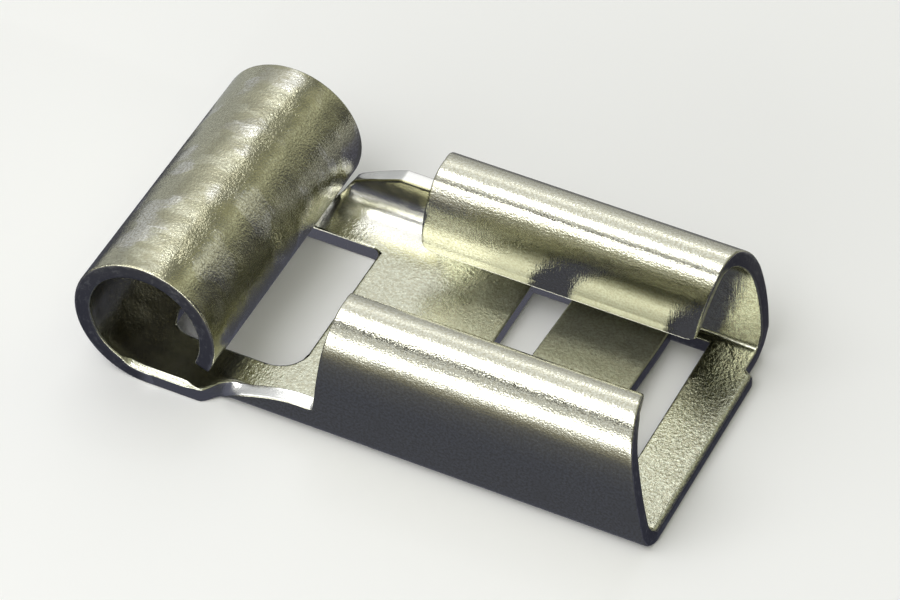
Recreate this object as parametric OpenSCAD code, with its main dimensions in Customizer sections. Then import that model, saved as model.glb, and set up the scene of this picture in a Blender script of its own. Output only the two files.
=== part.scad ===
// Flag-type female spade terminal, stamped from one strip and folded.
// +X points at the mouth where the tab goes in, Y runs across, Z is up.
// The origin is at the middle of the underside.

/* [Sheet] */
// Thickness of the strip
sheet_t = 0.42; // [0.3:0.02:0.5]
// Length from the back of the wire barrel to the front edge of the base
overall_l = 14.92; // [13.5:0.1:17]

/* [Receptacle] */
// Width over the two side walls
body_w = 7.6; // [6.6:0.1:9]
// Height of the curls above the underside
body_h = 3.8; // [3.2:0.1:4.6]
// Outside radius of the bend between base and wall
bend_r = 0.57; // [0.5:0.01:0.8]
// Outside radius where the wall leans into the curl
shoulder_r = 1.52; // [1.1:0.02:1.9]
// Outside radius over the top of the curl
crest_r = 0.62; // [0.54:0.02:0.8]
// Clear height between the base and the free edge of a curl
tab_gap = 0.75; // [0.5:0.05:1]
// Length of a curl along its top
curl_l = 7.5; // [6:0.1:8]
// Fall-back of the front edge for each millimetre up the blank
front_rake = 0.183; // [0.1:0.01:0.25]
// Forward bow of the front edge of the +Y wall
front_bow = 0.12; // [0:0.02:0.2]
// Fall-back of the rear edge for each millimetre away from the top
rear_rake = 0.1; // [0.04:0.01:0.16]
// Radius of the corners at the free edge
corner_r = 0.32; // [0.1:0.02:0.5]

/* [Base and spring] */
// Length of the solid strip at the front of the base
land_l = 1.37; // [1:0.05:2]
// Width of the front slot, along X
front_slot_w = 1.0; // [0.5:0.05:1.3]
// Length of the spring bridge between the slots, along X
bridge_l = 2.58; // [2:0.05:3.2]
// Width of the rear slot, along X
rear_slot_w = 1.07; // [0.5:0.05:1.3]
// Length of both slots, across the base
slot_l = 6.1; // [4.5:0.1:6.3]
// Rise of the spring bridge at its middle
spring_rise = 0.2; // [0.05:0.05:0.4]
// Chamfer along the front edge, where the tab is led in
lead_in = 0.14; // [0.05:0.01:0.25]
// Length of the base, from its front edge to the window
base_l = 9.82; // [9.3:0.05:10.4]
// Depth of the shoulder where the blank left its carrier strip
shoulder_step = 0.22; // [0.1:0.02:0.4]
// Width of that shoulder
shoulder_w = 0.73; // [0.4:0.01:1.2]

/* [Legs and window] */
// Width of the window between the legs
window_w = 4.72; // [3.8:0.1:5.2]
// Reach of the window behind the axis of the wire barrel
window_reach = 0.25; // [0.1:0.05:0.5]
// Radius of the window corners on the -Y side
window_r = 0.75; // [0.3:0.05:0.9]
// Radius of the window corners on the +Y side
tight_window_r = 0.25; // [0.15:0.05:0.6]
// Height of the turned-up edge of the -Y leg
near_flange_h = 0.95; // [0.75:0.05:1.4]
// Height of the turned-up edge of the +Y leg
far_flange_h = 1.8; // [0.9:0.05:2.1]
// Distance from the barrel's axis to the narrowest place of the -Y leg
near_waist_x = 1.88; // [1.6:0.02:2.2]
// Distance from the barrel's axis to the narrowest place of the +Y leg
far_waist_x = 1.47; // [1.2:0.02:2]
// Length over which the turned-up edge of the -Y leg reaches its height
near_rise_l = 2.1; // [1.6:0.05:2.2]
// Length over which the turned-up edge of the +Y leg reaches its height
far_rise_l = 1.8; // [1.4:0.05:2.2]
// Width of sheet left past the bend at the narrowest place of a leg
waist = 0.42; // [0.25:0.01:0.6]

/* [Wire barrel] */
// Outside diameter of the wire barrel
barrel_od = 3.74; // [3.2:0.02:4.2]
// Length of the wire barrel, across the terminal
barrel_l = 7.96; // [7.6:0.02:9]
// How far the barrel sits towards +Y from the middle of the receptacle
barrel_shift = 0.07; // [0:0.01:0.15]
// Opening between the barrel's edge and the leg, at the -Y end
near_seam = 0.7; // [0.3:0.05:0.9]
// Opening between the barrel's edge and the leg, at the +Y end
far_seam = 0.46; // [0.3:0.02:0.9]

/* [Hidden] */
$fn = 96;

front_x = overall_l / 2;
barrel_r = barrel_od / 2;
barrel_x = barrel_r - overall_l / 2;
window_half = window_w / 2;
springs_l = front_slot_w + bridge_l + rear_slot_w;
// Overlap of pieces of the same flat face
lap = 0.1;
// Steps along a leg
leg_steps = 32;
// Length over which a leg widens from its waist to the barrel
flare_l = 0.45;
// Share of the rise that a leg's edge makes in its first, steep part,
// and the share of the rise's length that this part takes
near_steep = 0.15;
far_steep = 0.45;
steep_part = 0.3;
// Lengths over which the bend of a leg opens flat, from the steep part on
near_open = 0.6;
far_open = 0.9;
// Height of the barrel's free edge above the legs
function seam_at(y) = near_seam + (far_seam - near_seam) * (0.5 + y / barrel_l);

// Headings, in degrees from flat: end of the base bend, end of the wall,
// end of the shoulder, end of the crest and the free edge.
bend_end = 84;
wall_end = 97;
shoulder_end = 148;
crest_end = 243;
free_end = 296;

// Climb of an arc of radius 1 between two headings
function climb(a, b) = cos(a) - cos(b);
wall_r = (body_h - bend_r * climb(0, bend_end) - shoulder_r * climb(wall_end, shoulder_end)
    - crest_r * climb(shoulder_end, 180)) / climb(bend_end, wall_end);
flank_r = (body_h - sheet_t - tab_gap + crest_r * climb(180, crest_end))
    / -climb(crest_end, free_end);
flat_half = body_w / 2 - bend_r * sin(bend_end) - wall_r * (1 - sin(bend_end));

// A station on the outer face of the folded strip is [y, z, heading, length],
// where length is measured along the face from the start of the base bend.
function arc_step(p, r, a) = [
    p[0] + r * (sin(p[2] + a) - sin(p[2])),
    p[1] - r * (cos(p[2] + a) - cos(p[2])),
    p[2] + a,
    p[3] + r * a * PI / 180];
// Stations along a list of arcs, each given as [radius, angle, steps]
function fold(p, arcs, i = 0, k = 1) =
    i == len(arcs) ? [p]
    : k > arcs[i][2] ? fold(p, arcs, i + 1)
    : concat([p], fold(arc_step(p, arcs[i][0], arcs[i][1] / arcs[i][2]), arcs, i, k + 1));
function last(list) = list[len(list) - 1];

// Where a wall stands clear of the leg: the heading on the wall at flange height
function flange_end(h) = acos(cos(bend_end) - (h - bend_r * climb(0, bend_end)) / wall_r);
function flange_arcs(h) = [
    [bend_r, bend_end, 8],
    [wall_r, flange_end(h) - bend_end, 3]];
function wall_arcs(h) = [
    [wall_r, wall_end - flange_end(h), 4],
    [shoulder_r, shoulder_end - wall_end, 8],
    [crest_r, 180 - shoulder_end, 5],
    [crest_r, crest_end - 180, 8],
    [flank_r, free_end - crest_end, 9]];

bend_start = [flat_half, 0, 0, 0];
crest_s = last(fold(bend_start, [[bend_r, bend_end, 1], [wall_r, wall_end - bend_end, 1],
    [shoulder_r, shoulder_end - wall_end, 1], [crest_r, 180 - shoulder_end, 1]]))[3];
free_s = crest_s + (crest_r * (crest_end - 180) + flank_r * (free_end - crest_end)) * PI / 180;

// Rounding of the two corners at the free edge
function corner(s) = let (d = max(0, s - free_s + corner_r))
    corner_r - sqrt(max(0, corner_r * corner_r - d * d));
function wall_front(s, step, bow) = front_x - max(step, front_rake * s) - corner(s)
    + bow * pow(sin(180 * min(1, max(0, s / crest_s))), 2);
crest_rear = front_x - front_rake * crest_s - curl_l;
function wall_rear(s) = crest_rear - rear_rake * abs(s - crest_s) + corner(s);

// The plane where the legs begin
leg_x = wall_rear(bend_r * bend_end * PI / 180) - sheet_t / 4;

// A point on the outer face (t = 0) or on the inner face (t = sheet_t)
function on_face(p, x, t) = [x, p[0] - t * sin(p[2]), p[1] + t * cos(p[2])];

// A closed solid between two grids of points with the same layout
module sheet(outer, inner) {
    m = len(outer);
    n = len(outer[0]);
    function a(i, j) = i * n + j;
    function b(i, j) = m * n + i * n + j;
    function quad(p, q, r, s) = [[p, q, r], [p, r, s]];
    rows = [for (i = [0:m - 2], j = [0:n - 2]) each concat(
        quad(a(i, j), a(i + 1, j), a(i + 1, j + 1), a(i, j + 1)),
        quad(b(i, j), b(i, j + 1), b(i + 1, j + 1), b(i + 1, j)))];
    sides = [for (i = [0:m - 2]) each concat(
        quad(a(i, 0), b(i, 0), b(i + 1, 0), a(i + 1, 0)),
        quad(a(i + 1, n - 1), b(i + 1, n - 1), b(i, n - 1), a(i, n - 1)))];
    ends = [for (j = [0:n - 2]) each concat(
        quad(a(0, j + 1), b(0, j + 1), b(0, j), a(0, j)),
        quad(a(m - 1, j), b(m - 1, j), b(m - 1, j + 1), a(m - 1, j + 1)))];
    polyhedron(
        points = concat([for (row = outer) each row], [for (row = inner) each row]),
        faces = concat(rows, sides, ends), convexity = 6);
}

// A strip folded along its stations, between its rear and front edge lines
module folded(stations, rear, front) {
    function grid(t) = [
        [for (i = [0:len(stations) - 1]) on_face(stations[i], rear[i], t)],
        [for (i = [0:len(stations) - 1]) on_face(stations[i], front[i], t)]];
    sheet(grid(0), grid(sheet_t));
}

// Station at length s where the base bend and the wall keep a share u of their turn
bend_s = bend_r * bend_end * PI / 180;
function opened(s, u) = let (
    h = u * min(s, bend_s) / bend_r * 180 / PI,
    g = h + u * max(0, s - bend_s) / wall_r * 180 / PI)
    [flat_half + (bend_r * sin(h) + wall_r * (sin(g) - sin(h))) / u,
     (bend_r * (1 - cos(h)) + wall_r * (cos(h) - cos(g))) / u, g, s];

// Side wall rolled over into a curl, on the +Y side
module wall(flange_h, step, bow) {
    low = concat([[flat_half - lap, 0, 0, -lap]],
        [for (p = fold(bend_start, flange_arcs(flange_h))) opened(p[3], 1)]);
    high = fold(last(low), wall_arcs(flange_h));
    folded(low, [for (p = low) leg_x], [for (p = low) wall_front(p[3], step, bow)]);
    folded(high, [for (p = high) wall_rear(p[3])], [for (p = high) wall_front(p[3], step, bow)]);
}

// Smooth step from 0 to 1
function ease(v) = let (c = min(1, max(0, v))) c * c * (3 - 2 * c);

// A leg runs flat beside the window and carries a turned-up edge outside it.
// Towards the barrel that edge falls, steeply at last, to a waist just in front
// of the barrel, where the bend opens flat and the sheet widens to the barrel.
module leg(flange_h, waist_at, rise_l, steep, open_l, reach) {
    full = fold(bend_start, flange_arcs(flange_h));
    flange_s = last(full)[3];
    barrel_s = reach - flat_half;
    waist_x = barrel_x + waist_at;
    function share(x) = max(0.001, ease((x - waist_x + open_l / 2) / open_l));
    function rise(v) = steep * ease(v / steep_part) + (1 - steep) * (1 - pow(1 - v, 2 - 2 * steep));
    function edge_s(x) = waist + (barrel_s - waist) * ease((waist_x - x) / flare_l)
        + (flange_s - waist) * rise(min(1, max(0, (x - waist_x) / rise_l)));
    function section(x) = let (u = share(x), k = edge_s(x) / flange_s)
        concat([[window_half, 0, 0, 0]], [for (p = full) opened(p[3] * k, u)]);
    xs = [for (k = [0:leg_steps]) barrel_x + (leg_x + lap - barrel_x) * k / leg_steps];
    function grid(t) = [for (x = xs) [for (p = section(x)) on_face(p, x, t)]];
    sheet(grid(0), grid(sheet_t));
}

// Quarter of a circle, as points
function quarter(x, y, r, from) = [for (k = [0:8]) [x + r * cos(from + 90 * k / 8),
    y + r * sin(from + 90 * k / 8)]];

// Plan of the window, with wide corners on one side and tight ones on the other
module window_plan() {
    x0 = barrel_x - window_reach;
    x1 = front_x - base_l;
    y1 = window_half;
    wide = window_r;
    tight = tight_window_r;
    polygon(concat(
        quarter(x0 + wide, wide - y1, wide, 180),
        quarter(x1 - wide, wide - y1, wide, 270),
        quarter(x1 - tight, y1 - tight, tight, 0),
        quarter(x0 + tight, y1 - tight, tight, 90)));
}

module window_cut() translate([0, 0, -sheet_t]) linear_extrude(height = 3 * sheet_t) window_plan();

// Flat base with its lead-in edge, the two slots and the window's front edge
module base() difference() {
    union() {
        rotate([90, 0, 0]) linear_extrude(height = 2 * flat_half, center = true) polygon([
            [leg_x, 0], [front_x, 0], [front_x, sheet_t - lead_in],
            [front_x - lead_in, sheet_t], [leg_x, sheet_t]]);
        translate([barrel_x, -window_half - lap, 0])
            cube([leg_x - barrel_x + lap, window_w + 2 * lap, sheet_t]);
    }
    window_cut();
    translate([front_x - land_l - springs_l, -slot_l / 2, -sheet_t])
        cube([springs_l, slot_l, 3 * sheet_t]);
    translate([front_x - shoulder_step, flat_half - shoulder_w, -sheet_t])
        cube([2 * shoulder_step, 2 * shoulder_w, 3 * sheet_t]);
}

// Bridge between the slots, arched to press on the tab
module spring_bridge() {
    half = slot_l / 2;
    function arch(y) = spring_rise * (1 + cos(180 * y / half)) / 2;
    ys = [for (k = [-12:12]) half * k / 12];
    lower = [for (y = ys) [y, arch(y)]];
    upper = [for (k = [len(ys) - 1:-1:0]) [ys[k], sheet_t + arch(ys[k])]];
    translate([front_x - land_l - front_slot_w - bridge_l, 0, 0])
        rotate([90, 0, 90]) linear_extrude(height = bridge_l)
            polygon(concat([[-half - lap, 0]], lower, [[half + lap, 0], [half + lap, sheet_t]],
                upper, [[-half - lap, sheet_t]]));
}

// Wire barrel: a rolled tube, open below its free edge in front
module barrel() difference() {
    translate([barrel_x, 0, barrel_r]) rotate([90, 0, 0])
        cylinder(r = barrel_r, h = barrel_l, center = true);
    translate([barrel_x, 0, barrel_r]) rotate([90, 0, 0])
        cylinder(r = barrel_r - sheet_t, h = 2 * barrel_l, center = true);
    translate([barrel_x, 0, 0]) rotate([90, 0, 90]) linear_extrude(height = barrel_od)
        polygon([[-barrel_l, -barrel_r], [barrel_l, -barrel_r],
            [barrel_l, sheet_t + seam_at(barrel_l)], [-barrel_l, sheet_t + seam_at(-barrel_l)]]);
    translate([0, -barrel_shift, 0]) window_cut();
}

module terminal() color("silver") {
    translate([0, -barrel_shift, 0]) {
        wall(far_flange_h, shoulder_step, front_bow);
        mirror([0, 1, 0]) wall(near_flange_h, 0, 0);
        leg(far_flange_h, far_waist_x, far_rise_l, far_steep, far_open,
            barrel_l / 2 + barrel_shift);
        mirror([0, 1, 0]) leg(near_flange_h, near_waist_x, near_rise_l, near_steep, near_open,
            barrel_l / 2 - barrel_shift);
        base();
        spring_bridge();
    }
    barrel();
}

terminal();
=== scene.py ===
"""Female spade terminal: one sheet of plated brass, cut flat and folded.

The sheet is described as a flat blank. U runs along the terminal and S runs
across it from the centre line, both measured along the outer face. The blank
is laid out as patches of grid, then folded: the sides roll over into two curls
and the tail rolls up into the wire barrel. Lengths in this file are millimetres,
and the mesh itself is written in metres.
"""

import logging
import math
from dataclasses import dataclass, field
from enum import Enum

import bpy
import numpy as np
from mathutils import Matrix, Vector


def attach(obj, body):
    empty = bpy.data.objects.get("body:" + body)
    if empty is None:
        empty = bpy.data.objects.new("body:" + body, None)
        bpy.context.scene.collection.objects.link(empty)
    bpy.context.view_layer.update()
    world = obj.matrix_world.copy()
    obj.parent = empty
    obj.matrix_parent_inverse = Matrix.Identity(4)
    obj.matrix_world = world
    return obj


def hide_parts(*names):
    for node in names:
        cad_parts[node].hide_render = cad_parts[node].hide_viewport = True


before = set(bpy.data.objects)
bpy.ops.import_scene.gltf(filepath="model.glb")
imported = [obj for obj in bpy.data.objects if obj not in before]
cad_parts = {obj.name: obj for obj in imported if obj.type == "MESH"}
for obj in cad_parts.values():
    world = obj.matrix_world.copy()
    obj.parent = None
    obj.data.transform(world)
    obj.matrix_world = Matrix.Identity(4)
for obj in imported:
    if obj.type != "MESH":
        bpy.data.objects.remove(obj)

MM = 0.001
MICRON = 1e-6
log = logging.getLogger("terminal")


def ease(v: np.ndarray | float) -> np.ndarray:
    """Smooth step from 0 to 1: the square of v times three less twice v."""
    c = np.clip(v, 0.0, 1.0)
    return c * c * (3.0 - 2.0 * c)


def blend(a: object, b: object, share: np.ndarray) -> np.ndarray:
    """Straight blend: a times one less the share, plus b times the share."""
    return a * (1 - share) + b * share


class Side(Enum):
    """The two sides of the terminal, as the sign of Y."""

    NEAR = -1
    FAR = 1


@dataclass(frozen=True)
class Leg:
    """The turned-up edge of one leg, and the corner and front on its side.

    Attributes:
        flange_h: height of the turned-up edge beside the curl.
        waist_at: how far ahead of the barrel's axis the leg is narrowest.
        rise_l: length over which the edge climbs from the waist to the flange.
        steep: share of that climb that is made at once, just ahead of the waist.
        open_l: length over which the base bend opens flat, round the waist.
        window_r: radius of the window's corners on this side.
        step: how far the front edge is set back from the shoulder outwards.
        front_bow: how far the wall's front edge bows forward.
    """

    flange_h: float
    waist_at: float
    rise_l: float
    steep: float
    open_l: float
    window_r: float
    step: float
    front_bow: float


@dataclass
class Fold:
    """Every size of the folded sheet, and the mapping from flat blank to shape."""

    # The section, from the base over the wall and the shoulder into the curl
    sheet_t: float = 0.42
    body_w: float = 7.6
    body_h: float = 3.8
    bend_r: float = 0.57
    shoulder_r: float = 1.52
    crest_r: float = 0.62
    tab_gap: float = 0.75  # from the base's inner face up to the curl's free edge
    headings: tuple = (0.0, 84.0, 97.0, 148.0, 180.0, 243.0, 296.0)  # degrees, at the arcs' ends
    soften: float = 0.16  # half the length over which a change of bend is spread
    fine_n: int = 2401  # places at which the bend is averaged
    arcs_n: int = 60  # short arcs that make the section
    flat_arcs: int = 8  # how many of them lie on the flat, for the wide bend of the far leg
    height_n: int = 400  # places in the table of heights

    # Along the receptacle, from the front edge back
    overall_l: float = 14.92
    curl_l: float = 7.5  # of a curl, along its crest
    front_rake: float = 0.183  # how far the front falls back for each millimetre up the blank
    rear_rake: float = 0.1
    corner_r: float = 0.32
    shoulder_w: float = 0.73  # the flat beside the bend whose front is set back
    step_l: float = 0.14
    land_l: float = 1.37  # from the front edge to the front slot
    front_slot_w: float = 1.0
    bridge_l: float = 2.58
    rear_slot_w: float = 1.07
    slot_l: float = 6.1
    spring_rise: float = 0.2
    spring_margin: float = 0.3  # how far past its edges the bridge's rise still counts
    base_l: float = 9.82  # from the front edge to the window

    # The legs and the window between them
    window_w: float = 4.72
    window_reach: float = 0.25  # how far the window runs past the barrel's axis
    waist: float = 0.42  # length of sheet past the bend where a leg is narrowest
    steep_part: float = 0.3  # share of the climb's length that is steep
    flare_l: float = 0.45  # length over which a leg widens to the barrel
    open_bend_l: float = 2.3  # length of the far leg's wide bend
    open_bend_s: float = 0.5  # its middle, past the start of the base bend
    wide_from: float = -0.95  # where along U the base bend starts to widen
    wide_l: float = 0.75
    legs: dict = field(default_factory=lambda: {
        Side.NEAR: Leg(flange_h=0.95, waist_at=1.88, rise_l=2.1, steep=0.15, open_l=0.6,
                       window_r=0.75, step=0.0, front_bow=0.0),
        Side.FAR: Leg(flange_h=1.67, waist_at=1.36, rise_l=1.8, steep=0.45, open_l=0.9,
                      window_r=0.25, step=0.22, front_bow=0.12),
    })

    # The wire barrel
    barrel_od: float = 3.74
    barrel_l: float = 7.96
    barrel_shift: float = 0.07  # how far it sits to the far side of the receptacle's middle
    near_seam: float = 0.7  # how high its free edge stands over its floor, at the near end
    far_seam: float = 0.46
    lip_dip: float = 0.3  # how far the free edge dips at its far end
    lip_dip_share: float = 0.25  # share of its length over which it dips

    def __post_init__(self) -> None:
        """Works out the arcs of the section and the places along the blank."""
        turns = np.radians(self.headings)
        climb = np.cos(turns[:-1]) - np.cos(turns[1:])
        wall_r = (self.body_h - self.bend_r * climb[0] - self.shoulder_r * climb[2]
                  - self.crest_r * climb[3]) / climb[1]
        flank_r = (self.body_h - self.sheet_t - self.tab_gap
                   + self.crest_r * climb[4]) / -climb[5]
        radii = np.array([self.bend_r, wall_r, self.shoulder_r, self.crest_r, self.crest_r,
                          flank_r])
        self.flat_half = (self.body_w / 2 - self.bend_r * math.sin(turns[1])
                          - wall_r * (1 - math.sin(turns[1])))
        self.ends_s = np.concatenate([[0.0], np.cumsum(radii * np.diff(turns))])
        self.free_s = float(self.ends_s[-1])
        self.crest_s = float(self.ends_s[4])
        self.turns = turns
        self._soft_arcs(radii)
        self.barrel_r = self.barrel_od / 2
        self.barrel_x = self.barrel_r - self.overall_l / 2
        self.front_x = self.overall_l / 2
        self.land_x = self.front_x - self.land_l
        self.bridge_front = self.land_x - self.front_slot_w
        self.bridge_rear = self.bridge_front - self.bridge_l
        self.slots_rear = self.bridge_rear - self.rear_slot_w
        self.window_x = self.front_x - self.base_l
        self.window_half = self.window_w / 2
        self.crest_rear = self.front_x - self.front_rake * self.crest_s - self.curl_l

    def _soft_arcs(self, radii: np.ndarray) -> None:
        """Cuts the section into short arcs whose bend changes gradually.

        The curvature of the six arcs is averaged over a short length, which takes
        the breaks out of the reflections, and each short arc keeps its mean. The
        wide bend is a smooth step of the heading over its own length instead.

        Args:
            radii: radius of each of the six arcs.
        """
        fine = np.linspace(0.0, self.free_s, self.fine_n)
        arc = np.clip(np.searchsorted(self.ends_s, fine) - 1, 0, len(radii) - 1)
        width = int(self.soften / (fine[1] - fine[0]))
        window = np.hanning(2 * width + 1)
        window /= window.sum()
        bend = np.convolve(np.pad(1.0 / radii[arc], width, mode="edge"), window, mode="valid")
        heading = np.concatenate([[0.0], np.cumsum((bend[1:] + bend[:-1]) / 2
                                                   * np.diff(fine))])
        heading *= self.turns[-1] / heading[-1]
        before = 0.5 * self.open_bend_l - self.open_bend_s
        after = 0.5 * self.open_bend_l + self.open_bend_s
        self.arc_s = np.concatenate([
            np.linspace(-before, 0.0, self.flat_arcs + 1)[:-1],
            np.linspace(0.0, self.free_s, self.arcs_n - self.flat_arcs + 1)])
        self.arc_h = np.interp(self.arc_s, fine, heading, left=0.0)
        wide = ease((self.arc_s - self.open_bend_s) / self.open_bend_l + 0.5) * self.turns[1]
        self.arc_wide = np.where(self.arc_s < after, wide, self.arc_h)

    def flange_s(self, side: Side) -> float:
        """Length of sheet, past the start of the bend, that stands as high as a flange.

        Args:
            side: the side whose leg has the flange.

        Returns:
            The length, read from a table of heights along the section.
        """
        s = np.linspace(0.0, self.crest_s, self.height_n)
        _, z, _ = self.across(s, np.ones_like(s), np.zeros_like(s))
        return float(np.interp(self.legs[side].flange_h, z, s))

    def across(self, s: np.ndarray, share: np.ndarray, wide: np.ndarray) -> tuple:
        """Section of the sheet: place and heading at length s past the base bend.

        The heading is the full fold's heading times share, and the place is the sum
        over the short arcs of radius times the change of sine, and of cosine. A hair
        of turn is added to each arc, so that none is quite straight.

        Args:
            s: length from the start of the bend, negative on the flat.
            share: how much of its full turn the sheet has, from 0 to 1.
            wide: how far the base bend is spread out wide, from 0 to 1.

        Returns:
            Y past the start of the bend, Z and the heading, all on the outer face.
        """
        hair, least_share = 1e-6, 1e-4
        share = np.maximum(share, least_share)
        y = np.minimum(s, self.arc_s[0])
        z, heading = np.zeros_like(y), np.zeros_like(y)
        turns = self.arc_h[:, None] + (self.arc_wide - self.arc_h)[:, None] * wide
        turns = turns * share + hair * np.arange(self.arcs_n + 1)[:, None]
        for s0, s1, h0, h1 in zip(self.arc_s[:-1], self.arc_s[1:], turns[:-1], turns[1:]):
            part = np.clip((s - s0) / (s1 - s0), 0.0, 1.0)
            h = h0 + (h1 - h0) * part
            r = (s1 - s0) / (h1 - h0)
            y = y + r * (np.sin(h) - np.sin(h0))
            z = z + r * (np.cos(h0) - np.cos(h))
            heading = np.where(part > 0, h, heading)
        return y, z, heading

    def share(self, u: np.ndarray, side: Side) -> np.ndarray:
        """Share of the turn kept at u: all of it in front, none at the barrel."""
        leg = self.legs[side]
        return ease((u - self.barrel_x - leg.waist_at) / leg.open_l + 0.5)

    def edge(self, u: np.ndarray, side: Side) -> np.ndarray:
        """Length of sheet past the bend on a leg.

        It is the flange's length in front, falls to the waist, steeply at last, and
        widens again to the half length of the barrel behind it. With v the way from
        the waist to the flange, the slope is one less a power of one less v.

        Args:
            u: places along the blank.
            side: the side the leg is on.

        Returns:
            The length at each place.
        """
        leg = self.legs[side]
        waist_x = self.barrel_x + leg.waist_at
        barrel_s = self.barrel_l / 2 + side.value * self.barrel_shift - self.flat_half
        v = np.clip((u - waist_x) / leg.rise_l, 0.0, 1.0)
        rise = (leg.steep * ease(v / self.steep_part)
                + (1 - leg.steep) * (1 - (1 - v) ** (2 - 2 * leg.steep)))
        flare = ease((waist_x - u) / self.flare_l)
        return (self.waist + (self.flange_s(side) - self.waist) * rise
                + (barrel_s - self.waist) * flare)

    def corner(self, s: np.ndarray) -> np.ndarray:
        """How far the two corners of the curl's free edge are rounded back."""
        d = np.clip(s - self.free_s + self.corner_r, 0.0, self.corner_r)
        return self.corner_r - np.sqrt(self.corner_r**2 - d**2)

    def front(self, s: np.ndarray, side: Side) -> np.ndarray:
        """Front edge of the blank, raked back along the walls.

        The bow is the square of a sine from the start of the bend to the crest.

        Args:
            s: length past the start of the bend, negative on the flat.
            side: the side it is on.

        Returns:
            U of the front edge at each length.
        """
        leg = self.legs[side]
        step = leg.step * ease((s + self.shoulder_w) / self.step_l)
        bow = leg.front_bow * np.sin(np.pi * np.clip(s / self.crest_s, 0.0, 1.0)) ** 2
        return self.front_x - np.maximum(step, self.front_rake * s) - self.corner(s) + bow

    def rear(self, s: np.ndarray) -> np.ndarray:
        """Rear edge of the curls, raked forward on both sides of the crest."""
        return self.crest_rear - self.rear_rake * np.abs(s - self.crest_s) + self.corner(s)

    def roll_end(self, s: np.ndarray) -> np.ndarray:
        """Length of sheet in the barrel up to its free edge.

        The free edge stands a gap above the barrel's floor, so its angle is a full
        turn less the arc cosine of one less gap and sheet over the radius.

        Args:
            s: places across the blank.

        Returns:
            The length at each place.
        """
        along = 0.5 + (s - self.barrel_shift) / self.barrel_l
        dip = self.lip_dip * ease((along - 1) / self.lip_dip_share + 1)
        gap = self.near_seam + (self.far_seam - self.near_seam) * along - dip
        turn = 2 * math.pi - np.arccos(1 - (gap + self.sheet_t) / self.barrel_r)
        return self.barrel_r * turn

    def place(self, u: np.ndarray, s: np.ndarray, t: np.ndarray) -> np.ndarray:
        """Folds points of the blank into their place.

        Ahead of the barrel a point lies on its section, moved in from the outer face
        by t along the sheet's normal. The bridge rises by half of one plus the cosine
        across it. Behind, the flat sheet is rolled round the barrel's axis, so its
        angle is the length rolled over the radius.

        Args:
            u: place along the blank.
            s: place across the blank, negative on the near side.
            t: depth from the outer face.

        Returns:
            Points as an array with three columns, in millimetres.
        """
        past = np.abs(s) - self.flat_half
        share = np.where(s < 0, self.share(u, Side.NEAR), self.share(u, Side.FAR))
        wide = np.where(s < 0, 0.0, ease((self.wide_from - u) / self.wide_l))
        y, z, h = self.across(past, share, wide)
        half = self.slot_l / 2
        bridge = ((u > self.bridge_rear - self.spring_margin)
                  & (u < self.bridge_front + self.spring_margin) & (np.abs(s) < half))
        rise = np.where(bridge, self.spring_rise, 0.0)
        z = z + rise * (1 + np.cos(np.pi * s / half)) / 2
        slope = rise * np.pi / half * np.sin(np.pi * s / half) / 2
        z = z + t * np.cos(h)
        y = self.flat_half + y - t * np.sin(h) + t * np.abs(slope)
        turn = np.maximum(self.barrel_x - u, 0.0) / self.barrel_r
        ring = self.barrel_r - t
        x = np.where(turn > 0, self.barrel_x - ring * np.sin(turn), u)
        z = np.where(turn > 0, self.barrel_r - ring * np.cos(turn), z)
        y = np.where(turn > 0, np.abs(s), y)
        return np.stack([x, np.where(s < 0, -y, y) - self.barrel_shift, z], axis=-1)


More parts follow.
